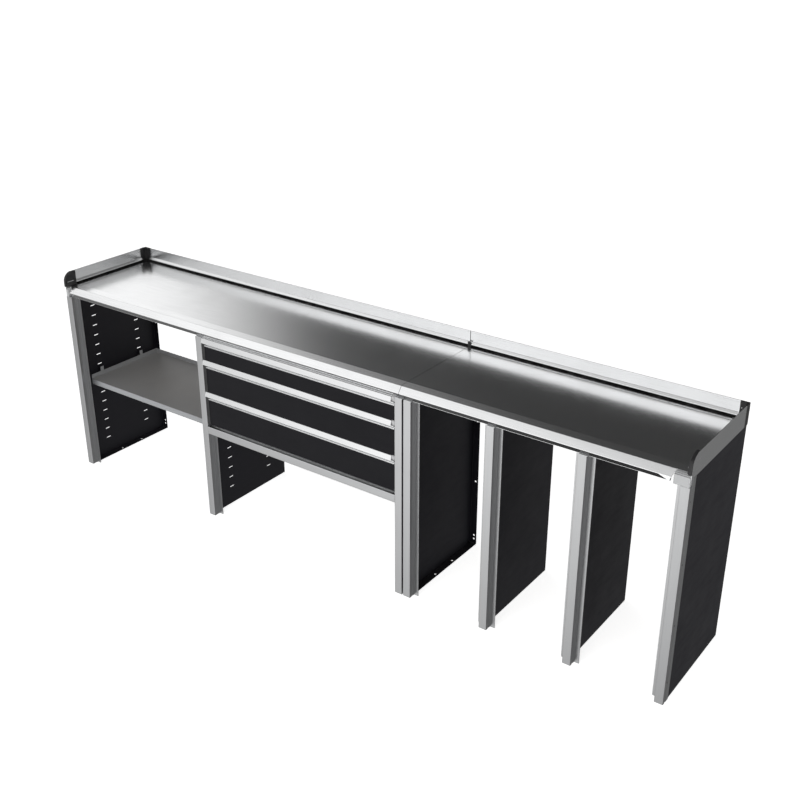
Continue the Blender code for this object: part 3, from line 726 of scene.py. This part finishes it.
tiny = 0.0001
pull_edges(tray, lambda middle: middle.y > floor_low.y + tiny, (0.0, 0.0, shelf_rim - under))
pull_edges(tray, lambda middle: middle.y < floor_low.y + tiny
    and abs(middle.z - floor_low.z) < tiny, (0.0, 0.0, shelf_drop - under))
only(tray)
into_edit()
bpy.ops.mesh.select_all(action="SELECT")
bpy.ops.mesh.remove_doubles(threshold=0.00001)
bpy.ops.mesh.normals_make_consistent(inside=False)
out_of_edit()
floor_face = max(tray.data.polygons, key=lambda face: abs(face.normal.z))
if floor_face.normal.z < 0.0:
    into_edit()
    bpy.ops.mesh.flip_normals()
    out_of_edit()
modified(tray, "SOLIDIFY", thickness=shelf_sheet, offset=1.0, use_even_offset=True)
fitted(smoothed(eased(tray, shelf_radius, 3)), shelf_finish, "shelf_grey", "bench", "shelf_tray")

hook_level = slot_base + slot_pitch * 7
hook_low, hook_under = hook_level - 0.006, hook_level - 0.0016
hook_over, arm_top, tab_top = hook_level + 0.0016, hook_level + 0.012, hook_level + 0.038
hook_width = 0.018
hooks = []
for side, face, outward in ((shelf_left, 0.004, -1.0), (shelf_right, 0.8515, 1.0)):
    arm = face - outward * 0.0006
    behind = face + outward * 0.0026
    tip = face + outward * 0.0038
    tab = side + outward * 0.0018
    outline = [(side, hook_low, 0), (arm, hook_low, 0.0004), (arm, hook_under, 0.0003),
        (behind, hook_under, 0.0003), (behind, hook_low, 0.0003), (tip, hook_low, 0.0003),
        (tip, hook_over, 0.0008), (arm, hook_over, 0.0003), (arm, arm_top, 0.002),
        (tab, arm_top, 0.0008), (tab, tab_top, 0.0005), (side, tab_top, 0.0005)]
    for column in slot_columns:
        start = column - hook_width / 2
        hooks.append(traced("hook", filleted(outline), "Y", start, hook_width))
fitted(smoothed(joined("shelf_hooks", hooks)), shelf_finish, "shelf_grey", "bench")

# ---- Drawer bay bars ----
# A hollow aluminium bar ties the two posts together under the drawers, anodised like the posts. A
# thin steel angle ties them above, in the shadow of the worktop's nose; its black coat is painted
# shade.
bay_left, bay_right = 0.8718, 1.8837
bar_finish = metal_finish("satin_anodised_bar", (0.6, 0.605, 0.61), 0.3, lines_across)
bar_front, bar_back, bar_low, bar_high = 0.0005, 0.029, 0.417, 0.452
step_front, step_back, step_drop = 0.012, 0.019, 0.002
bar = traced("cross_bar_extrusion", filleted([(bar_front, bar_low, 0.0015),
    (bar_back, bar_low, 0.0015), (bar_back, bar_high, 0.0015), (step_back, bar_high, 0.0004),
    (step_back, bar_high - step_drop, 0.0004), (step_front, bar_high - step_drop, 0.0004),
    (step_front, bar_high, 0.0004), (bar_front, bar_high, 0.002)]), "X", bay_left,
    bay_right - bay_left)
bar_wall = 0.0025
bore = box_between("bore", (bay_left - beyond, bar_front + bar_wall, bar_low + bar_wall),
    (bay_right + beyond, bar_back - bar_wall, bar_high - step_drop - bar_wall))
cut_away(bar, bore)
fitted(smoothed(bar), bar_finish, "bar_aluminium", "bench", "drawer_bay_cross_bar")
# The top rail gets the uprights' black coat as painted shade under the nose.
refinish(panel_finish, "drawer_bay_top_rail")

# ---- Runners ----
# Zinc-plated telescopic slides. A Z-shaped bracket holds the outer channel off the upright, clear
# of the post's fin; a middle channel slides inside it and carries the drawer.
runner_finish = metal_finish("zinc_plated_slide", (0.5, 0.505, 0.52), 0.34, lines_back, 0.14, 0.12)
slider_finish = metal_finish("polished_slide", (0.56, 0.565, 0.57), 0.26, lines_back, 0.12, 0.08)
runner_front, runner_length = 0.0455, 0.4145
runner_wall = 0.0025


def channel_lips(web, rim, low, high, inward):
    """The lower and upper lips of a channel that is open towards the drawer."""
    inside = web + inward * runner_wall
    lower = [(rim, low, 0.0005), (rim, low + runner_wall, 0.0005),
        (inside, low + runner_wall, 0.001)]
    upper = [(inside, high - runner_wall, 0.001), (rim, high - runner_wall, 0.0005),
        (rim, high, 0.0005)]
    return lower, upper


def runner_piece(name, edge, face, inward, level):
    """The bracket and fixed channel on one side, with a rib along its web."""
    web, rim = edge + inward * 0.0215, edge + inward * 0.0325
    low, high = level - 0.022, level + 0.022
    bracket_top = high - 0.004
    bracket, inside = face + inward * runner_wall, web + inward * runner_wall
    rib = web + inward * 0.0032
    lower, upper = channel_lips(web, rim, low, high, inward)
    outline = [(face, low, 0), (bracket, low, 0), (bracket, bracket_top, 0.0015),
        (web, bracket_top, 0.0015), (web, low, 0.0024), *lower, (inside, level - 0.006, 0.001),
        (rib, level - 0.004, 0.001), (rib, level + 0.004, 0.001), (inside, level + 0.006, 0.001),
        *upper, (face, high, 0.002)]
    return smoothed(traced(name, filleted(outline), "Y", runner_front, runner_length))


def slider_piece(name, edge, inward, level):
    """The middle channel on one side, inside the fixed one."""
    web, rim = edge + inward * 0.025, edge + inward * 0.032
    low, high = level - 0.0175, level + 0.0175
    lower, upper = channel_lips(web, rim, low, high, inward)
    outline = [(web, low, 0.0022), *lower, *upper, (web, high, 0.0022)]
    return smoothed(traced(name, filleted(outline), "Y", runner_front, runner_length))


divider_edge, module_edge = 0.8715, 1.884
divider_face, module_face = 0.8538, 1.9137
drawers = ("drawer_top", "drawer_middle", "drawer_bottom")
slider_low, slider_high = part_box("drawer_top_slider_left")
top_level = (slider_low.z + slider_high.z) / 2 - floor_level
runner_set = {
    "runner_left": runner_piece("runner_left", divider_edge, divider_face, 1.0, top_level),
    "runner_right": runner_piece("runner_right", module_edge, module_face, -1.0, top_level),
    "slider_left": slider_piece("slider_left", divider_edge, 1.0, top_level),
    "slider_right": slider_piece("slider_right", module_edge, -1.0, top_level),
}
for drawer in drawers:
    for side, pattern in runner_set.items():
        node = drawer + "_" + side
        step = (0.0, 0.0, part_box(node)[0].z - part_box("drawer_top_" + side)[0].z)
        piece = copy_along(pattern, node + "_channel", step)
        if side.startswith("runner"):
            fitted(piece, runner_finish, "runner_zinc", "bench", node)
        else:
            fitted(piece, slider_finish, "slider_zinc", drawer + "_sliders", node)
for pattern in runner_set.values():
    bpy.data.objects.remove(pattern, do_unlink=True)

# ---- Drawers ----
# Three drawers of folded steel. Each front is a black powder-coated pan under a silver full-width
# grip extrusion; a black plastic piece closes the front's left end, a light one the grip's right.
grip_finish = metal_finish("bright_anodised_grip", (0.74, 0.745, 0.75), 0.26, lines_across, 0.08)
front_finish = paint_finish("black_drawer_coat", (0.0075, 0.0073, 0.0095), 0.46, dust=0.03,
    gloss=0.16)
box_finish = paint_finish("grey_drawer_coat", (0.23, 0.235, 0.24), 0.48, 650.0, dust=0.08,
    wear_highlight_strength=0.25, wear_highlight_edge=(0.45, 0.45, 0.45, 1.0))


def moulded_group():
    """Moulded plastic: a fine spark-eroded texture with soft flow marks."""
    group, given, out, wires = new_group("moulded_plastic",
        (("Colour", "Color", (0.012, 0.012, 0.013, 1.0)), ("Roughness", "Float", 0.5)),
        surface_outputs)
    place = wires.place()
    grain = wires.node("TexVoronoi", (("feature", "SMOOTH_F1"),), Vector=place, Scale=1600.0)
    flow = wires.noise(place, 28.0, 3.0, 0.5, 1.2)
    flow_mask = wires.remap(flow, 0.4, 0.7, 0.0, 0.1)
    wires.link(wires.blend(flow_mask, given["Colour"], (0.2, 0.2, 0.2, 1.0)), out["Colour"])
    varied = wires.sum("ADD", given["Roughness"], wires.remap(flow, 0.3, 0.7, -0.06, 0.06))
    wires.link(varied, out["Roughness"])
    wires.link(grain.outputs["Distance"], out["Height"])
    return group


moulded_plastic = moulded_group()


def plastic_finish(name, colour, roughness, bump=0.00004, gloss=0.5):
    """A moulded plastic or rubber with lighter edges from light polishing and a painted highlight."""
    material, shader = surface_material(name, moulded_plastic, (0.3, 0.3, 0.3, 1.0), 0.001, 0.1,
        0.5, bump, Colour=(*colour, 1.0), Roughness=roughness)
    shader["Specular IOR Level"].default_value = gloss
    return material


cap_finish = plastic_finish("black_moulded_cap", (0.012, 0.012, 0.013), 0.48)
grip_cap_finish = plastic_finish("grey_moulded_cap", (0.5, 0.5, 0.505), 0.45)


def hollowed(piece, facing, rim, depth):
    """Sink the face that looks one way, leaving a wall around it."""
    facing = Vector(facing)
    pick(piece, "FACE", piece.data.polygons, lambda face: face.normal.dot(facing) > 0.99)
    bpy.ops.mesh.inset(thickness=rim)
    bpy.ops.mesh.extrude_region_move(TRANSFORM_OT_translate={"value": -facing * depth})
    out_of_edit()


grip_left, grip_right = 0.873, 1.8825
side_cap_width, end_piece_width = 0.016, 0.014
face_left = grip_left + side_cap_width
front_face, front_back = 0.002, 0.018
pan_left, pan_back, pan_wall, pan_sink = face_left + 0.0003, 0.016, 0.0015, 0.0125
bin_wall = 0.0012
for drawer in drawers:
    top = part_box(drawer + "_grip")[1].z - floor_level
    front_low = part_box(drawer + "_front")[0].z - floor_level
    grip = traced(drawer + "_grip_extrusion", filleted([(front_back, top, 0), (0.0045, top, 0.0016),
        (0.0012, top - 0.0022, 0.0016), (-0.004, top - 0.0222, 0.0014),
        (-0.004, top - 0.024, 0.0006), (-0.0015, top - 0.024, 0.0006),
        (0.006, top - 0.0265, 0.0008), (0.006, top - 0.03, 0.0008), (0.0005, top - 0.0305, 0.0004),
        (0.0005, top - 0.036, 0.0004), (0.0025, top - 0.036, 0.0004), (0.0025, top - 0.033, 0.0004),
        (front_back, top - 0.033, 0)]), "X", grip_left, grip_right - grip_left)
    cut_away(grip, box_between("relief", (grip_left - beyond, -0.02, top - 0.06),
        (pan_left, 0.03, top - 0.0228)))
    cut_away(grip, box_between("relief", (grip_right - end_piece_width - 0.0003, -0.02,
        top - 0.0202), (grip_right + beyond, 0.03, top + beyond)))
    fitted(smoothed(grip), grip_finish, "grip_aluminium", drawer, drawer + "_grip")

    end_low = top - 0.0199
    end_piece = traced(drawer + "_grip_end_moulding", filleted([
        (0.0025, end_low, 0.0006), (front_back, end_low, 0.0006), (front_back, top, 0.0006),
        (0.006, top, 0.002), (front_face, top - 0.003, 0.0015)]),
        "X", grip_right - end_piece_width, end_piece_width)
    fitted(smoothed(end_piece), grip_cap_finish, "grip_cap_grey", drawer, drawer + "_grip_cap")

    cap_top = top - 0.0231
    cap = traced(drawer + "_side_moulding", filleted([(0.0005, front_low, 0.0012),
        (front_back, front_low, 0.0012), (front_back, cap_top, 0.0006), (0.004, cap_top, 0.001),
        (0.0005, cap_top - 0.004, 0.001)]), "X", grip_left, side_cap_width)
    fitted(smoothed(cap), cap_finish, "cap_plastic", drawer, drawer + "_side_cap")

    pan = box_between(drawer + "_front_pan", (pan_left, front_face, front_low),
        (grip_right, pan_back, top - 0.0363))
    hollowed(pan, (0.0, 1.0, 0.0), pan_wall, pan_sink)
    pan = smoothed(eased(pan, 0.0006, 3))
    fitted(pan, front_finish, "drawer_black", drawer, drawer + "_front")

    bin_low, bin_high = [corner - at(0.0, 0.0, 0.0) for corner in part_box(drawer + "_box")]
    steel_bin = box_between(drawer + "_steel_box", bin_low, bin_high)
    hollowed(steel_bin, (0.0, 0.0, 1.0), bin_wall, bin_high.z - bin_low.z - bin_wall)
    steel_bin = smoothed(eased(steel_bin, 0.0005, 3))
    fitted(steel_bin, box_finish, "drawer_box_grey", drawer, drawer + "_box")

# ---- Worktop cores ----
# Two plywood boards stiffen the worktops. They show from below and along the back, as bare sanded
# birch with darker glue lines between the plies.
core_finish, wires, shader = start_material("bare_birch_plywood")
place = wires.place()
grain = wires.noise(wires.stretched(place, (2.5, 45.0, 45.0)), 1.0, 8.0, 0.65, 0.6)
pores = wires.noise(wires.stretched(place, (40.0, 900.0, 900.0)), 1.0, 3.0)
ply_height, glue_height = 0.0013, 0.00035
height_up = wires.node("SeparateXYZ", (), i0=place).outputs[2]
glue = wires.remap(wires.sum("PINGPONG", height_up, ply_height), 0.0, glue_height, 1.0, 0.0)
facing = wires.node("SeparateXYZ", (), i0=wires.node("NewGeometry").outputs["Normal"])
on_edge = wires.remap(wires.sum("ABSOLUTE", facing.outputs[2], 0.0), 0.3, 0.6, 1.0, 0.0)
glue_lines = wires.sum("MULTIPLY", glue, on_edge)
light_wood = wires.blend(wires.remap(grain, 0.35, 0.65, 0.0, 1.0), (0.5, 0.41, 0.3, 1.0),
    (0.38, 0.29, 0.19, 1.0))
pored = wires.blend(wires.remap(pores, 0.55, 0.75, 0.0, 0.5), light_wood, (0.2, 0.11, 0.05, 1.0))
wires.link(wires.blend(glue_lines, pored, (0.11, 0.055, 0.025, 1.0)), shader["Base Color"])
wires.link(wires.remap(grain, 0.3, 0.7, 0.62, 0.78), shader["Roughness"])
raised = wires.node("Bump", (), Strength=0.5, Distance=0.0002, Height=pores)
wires.link(raised.outputs[0], shader["Normal"])
refinish(core_finish, "worktop_left_core", "worktop_right_core")

# ---- Worktop skins ----
# Each board is wrapped in one folded steel sheet: flat on top, a shallow fall to a crest, a steep
# nose, and a short return underneath. The two sheets meet over the middle posts.
steel_finish = metal_finish("polished_worktop_steel", (0.93, 0.935, 0.94), 0.2, (7.0, 700.0, 700.0),
    0.05, 0.05, bump=0.000006, wear_highlight_strength=0.2)
skin = 0.002
seam, half_gap = 1.901, 0.0008
skin_first, skin_last = 0.0033, 3.0447
nose_first, nose_last = 0.018, 2.989
skin_back, skin_top, skin_low = 0.4937, 0.918, 0.86
crest, crest_top = 0.0215, 0.9175
nose_front, nose_end, nose_slant = 0.002, 0.8893, 0.016
nose_path = [(skin_back, skin_top, 0), (0.059, skin_top, 0.012), (0.021, 0.9155, 0.0022),
    (nose_front, 0.8895, 0.0022), (0.0088, 0.8728, 0.0012), (0.0088, 0.8718, 0)]
for name, start, end in (("worktop_left_skin", skin_first, seam - half_gap),
        ("worktop_right_skin", seam + half_gap, skin_last)):
    sheet = traced(name + "_pressing", folded(nose_path, skin, 4), "X", start, end - start)
    if start < nose_first:
        corner = [(-beyond, skin_low), (nose_first, skin_low), (nose_first, crest_top),
            (-beyond, crest_top)]
        cut_away(sheet, traced("corner", corner, "Y", -0.02, 0.02 + crest))
    if end > nose_last:
        corner = [(nose_last - nose_slant, skin_low), (bench_length + beyond, skin_low),
            (bench_length + beyond, crest_top), (nose_last + 0.0005, crest_top)]
        cut_away(sheet, traced("corner", corner, "Y", -0.02, 0.02 + crest))
        foot = nose_last - 0.0095
        ear = [(foot - 0.045, nose_end), (foot, nose_end), (foot - 0.004, 0.8735)]
        ear = traced("ear", ear, "Y", nose_front + 0.0002, 0.0012)
        sheet = joined(name + "_pressing", [sheet, ear])
    fitted(smoothed(sheet, 25.0), steel_finish, "worktop_steel", "bench", name)

# ---- Corner blocks ----
# Cast fillers in a light grey coat close the nose over the two end posts, under the steel. Their
# front edge is stepped.
block_finish = paint_finish("light_cast_block", (0.46, 0.465, 0.47), 0.5, 420.0, dust=0.02,
    wear_highlight_strength=0.2, wear_highlight_edge=(0.72, 0.72, 0.72, 1.0))
block_gap, block_back = 0.0003, 0.059
block_low, post_top, block_top = 0.8708, 0.9003, 0.9131
block_outline = [(0.0, block_low, 0.0008), (0.0135, block_low, 0), (0.0135, post_top, 0),
    (block_back, post_top, 0), (block_back, block_top, 0.0004), (0.0125, block_top, 0.0006),
    (0.0125, 0.9105, 0.0004), (0.006, 0.9105, 0.0006), (0.006, 0.9065, 0.0004),
    (0.0, 0.9065, 0.0012)]
for name, start, end in (("corner_block_left", skin_first, nose_first - block_gap),
        ("corner_block_right", nose_last + block_gap, skin_last)):
    block = traced(name + "_casting", filleted(block_outline), "X", start, end - start)
    fitted(smoothed(block), block_finish, "corner_aluminium", "bench", name)

# ---- Edging ----
# Anodised aluminium strips stand up along both sides and the rear. Each has a bead at its top edge
# and a sloping lip near its foot that presses the seal down; the side strips are rounded in front.
edging_finish = metal_finish("satin_anodised_edging", (0.85, 0.855, 0.86), 0.26, (5.0, 5.0, 900.0),
    0.08)
strip, lip, bead = 0.003, 0.01, 0.0006
strip_low, strip_top = post_top, 0.984
lip_low, lip_edge, lip_high, lip_radius = 0.9265, 0.9295, 0.938, 0.0012
rear, rear_gap, rear_end = 0.497, 0.0014, 0.034
rear_face = rear - strip
rear_outline = [(rear, strip_low, 0), (rear, strip_top, 0.0008), (rear_face, strip_top, 0.0008),
    (rear_face, strip_top - 0.006, 0), (rear_face + bead, strip_top - 0.0064, 0),
    (rear_face + bead, strip_top - 0.0072, 0), (rear_face, strip_top - 0.0076, 0),
    (rear_face, lip_high + 0.001, 0.0015), (rear_face - 0.0012, lip_high, 0.0008),
    (rear - lip, lip_edge, lip_radius), (rear - lip, lip_low, 0.0006), (rear_face, lip_low, 0),
    (rear_face, strip_low, 0)]
for name, start, end in (("upstand_rear_left", rear_end, seam - rear_gap),
        ("upstand_rear_right", seam + rear_gap, bench_length - rear_end)):
    piece = traced(name + "_extrusion", filleted(rear_outline), "X", start, end - start)
    fitted(smoothed(piece, 50.0), edging_finish, "edging_aluminium", "bench", name)

corner_radius, corner_steps = 0.042, 14
side_front, side_back, side_lip_front = 0.002, 0.4627, 0.0585
side_outline = filleted([(side_front, strip_low, 0), (side_back, strip_low, 0),
    (side_back, strip_top, 0), (side_front, strip_top, corner_radius)], steps=corner_steps)
ends = (("left", 0.0, 1.0), ("right", bench_length, -1.0))
for side_name, edge, inward in ends:
    name = "upstand_" + side_name
    start = edge if inward > 0 else edge - strip
    plate = eased(traced(name + "_extrusion", side_outline, "X", start, strip), 0.0006, 2, 40.0)
    in_plate, lip_end = edge + inward * strip / 2, edge + inward * lip
    edge_lip = [(in_plate, lip_low, 0), (lip_end, lip_low, 0.0006), (lip_end, lip_edge, lip_radius),
        (edge + inward * (strip + 0.0012), lip_high, 0.0008), (in_plate, lip_high, 0)]
    rail = traced("lip", filleted(edge_lip), "Y", side_lip_front, side_back - side_lip_front)
    plate = smoothed(merge_in(plate, rail), 50.0)
    fitted(plate, edging_finish, "edging_aluminium", "bench", name)

# ---- Seals ----
# Soft black rubber fills the gap between the edging's lip and the steel. The same rubber, in thin
# strips, fills the joints between the two worktops and between the two rear strips.
seal_finish = plastic_finish("black_rubber_seal", (0.002, 0.002, 0.002), 0.9, 0.00008, 0.12)
refinish(seal_finish, "edge_seal_left", "edge_seal_right")

seal_gap = 0.0001
joint_sheet = 0.0012
joint_path = [(skin_back, 0.9174, 0), (0.059, 0.9174, 0.0115), (0.0213, 0.9149, 0.002),
    (0.0027, 0.8894, 0.0018), (0.0091, 0.8733, 0)]
joint = traced("worktop_joint_strip", folded(joint_path, joint_sheet, 4), "X",
    seam - half_gap + seal_gap, 2 * (half_gap - seal_gap))
fitted(smoothed(joint), seal_finish, "seal_rubber", "bench")
rear_joint = box_between("rear_joint_strip", (seam - rear_gap + seal_gap, rear_face + 0.0004,
    strip_low + 0.0005), (seam + rear_gap - seal_gap, rear - 0.0004, strip_top - 0.0008))
fitted(rear_joint, seal_finish, "seal_rubber", "bench")

# ---- Plastic caps ----
# Moulded black plugs, each with a small metal clip, finish the front ends of the side strips. Black
# mouldings join the strips at the rear corners, one with a screw, and a connector spans the joint.
cap_front, cap_back, cap_low = -0.0038, 0.0577, 0.9183
behind_front, behind_top = side_front - 0.0002, strip_top + 0.0002
cover_end = cap_front + corner_radius


def inward_span(edge, inward, first, last):
    """Two distances in from an end of the bench, in order from left to right."""
    return sorted((edge + inward * first, edge + inward * last))


for side_name, edge, inward in ends:
    name = "end_cap_" + side_name
    side = filleted([(cap_front, cap_low, 0.0006), (cap_back, cap_low, 0.0006),
        (cap_back, strip_top, 0.002), (cap_front, strip_top, corner_radius)], steps=corner_steps)
    near, far = inward_span(edge, inward, 0.0033, 0.0115)
    plug = traced("plug", side, "X", near, far - near)
    cover = filleted([(cap_front, cap_low, 0), (cap_front, strip_top, corner_radius),
        (cover_end + 0.0002, strip_top, 0)], closed=False, steps=corner_steps)
    behind = filleted([(behind_front, cap_low, 0), (behind_front, behind_top, corner_radius),
        (0.06, behind_top, 0)], closed=False, steps=corner_steps)
    behind = [point for point in behind if point[0] < cover_end]
    near, far = inward_span(edge, inward, 0.0001, 0.0033)
    shell = traced("shell", cover + list(reversed(behind)), "X", near, far - near)
    near, far = inward_span(edge, inward, 0.0115, 0.0155)
    foot = box_between("foot", (near, 0.0, cap_low + 0.0001), (far, 0.047, 0.9425))
    cap = joined(name + "_moulding", [plug, shell, eased(foot, 0.0008)])
    fitted(smoothed(cap), cap_finish, "cap_plastic", "bench", name)

    near, far = inward_span(edge, inward, 0.0157, 0.0168)
    clip = eased(box_between(name + "_clip", (near, 0.004, 0.94), (far, 0.038, 0.9425)), 0.0003)
    fitted(smoothed(clip), edging_finish, "edging_aluminium", "bench")

connector = eased(box_between("seam_connector", (seam - 0.007, rear - 0.0124, 0.9186),
    (seam + 0.007, rear - 0.0103, 0.94)), 0.0005)
fitted(smoothed(connector), cap_finish, "cap_plastic", "bench")

corner_front = rear - 0.034
for side_name, edge, inward in ends:
    name = "corner_cap_" + side_name
    reach = edge + inward * 0.0337
    shapes = []
    for thickness, low in ((strip, strip_low), (0.008, 0.9268)):
        wall = edge + inward * thickness
        inner = rear - thickness
        plan = [(edge, corner_front, 0.0005), (wall, corner_front, 0.0005), (wall, inner, 0.003),
            (reach, inner, 0.0005), (reach, rear, 0.0005), (edge, rear, 0.0025)]
        shapes.append(traced(name + "_moulding", filleted(plan), "Z", low, strip_top - low))
    fitted(smoothed(merge_in(*shapes)), cap_finish, "cap_plastic", "bench", name)

corner_screw = socket_screw("corner_screw", (3.0215, rear - 0.0085, 0.959), "Y", 0.0022, 0.0016,
    -1.0)
fitted(smoothed(corner_screw), screw_finish, "runner_zinc", "bench")
